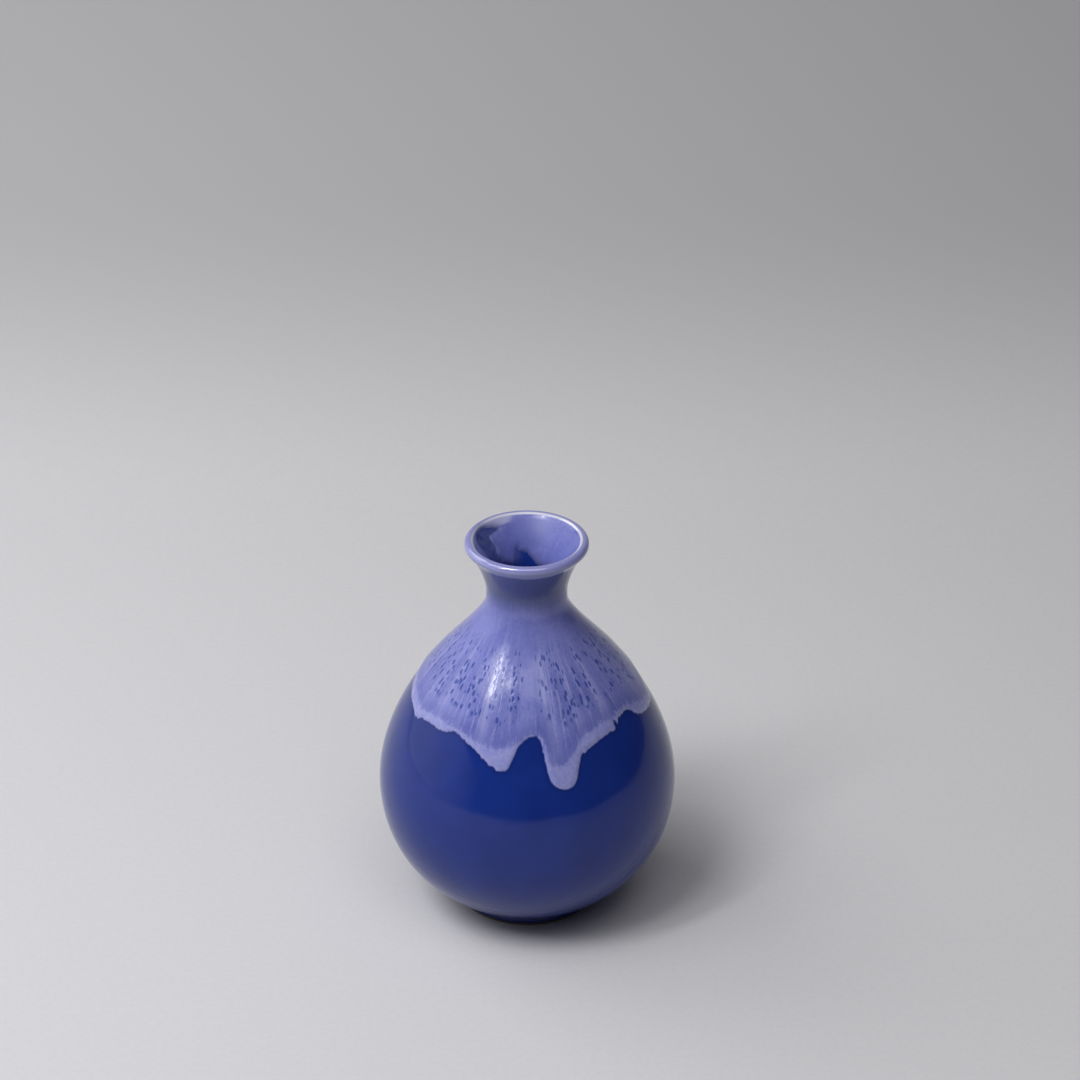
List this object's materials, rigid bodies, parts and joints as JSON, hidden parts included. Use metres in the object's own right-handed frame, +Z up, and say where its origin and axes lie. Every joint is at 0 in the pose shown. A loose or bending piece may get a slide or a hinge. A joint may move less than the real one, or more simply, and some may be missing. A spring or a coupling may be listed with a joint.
{
  "type": "bud vase",
  "caption": "Small round-bellied ceramic bud vase on a trimmed foot ring, with a narrow flared neck, deep blue glaze and a lavender overglaze that has run down in drips.",
  "frame": {"origin": "centre of the foot ring, on the surface that the vase stands on", "axes": "+Z up along the axis that the vase was thrown about, -Y the side with the two long drips, +X to the right seen from the front"},
  "size_m": [0.09, 0.09, 0.1233],
  "materials": {
    "clay": "bare fired clay, pale buff, matt",
    "cobalt": "deep cobalt blue glaze, gloss",
    "liner": "cobalt glaze inside the vase, gloss",
    "lavender": "milky lavender glaze with fine streaks, dark specks and a paler edge, gloss"
  },
  "bodies": {
    "root": {"clay_body": "clay", "cobalt_glaze": "cobalt", "liner_glaze": "liner", "lavender_glaze": "lavender", "foot_recess_glaze": "cobalt"}
  },
  "joints": []
}
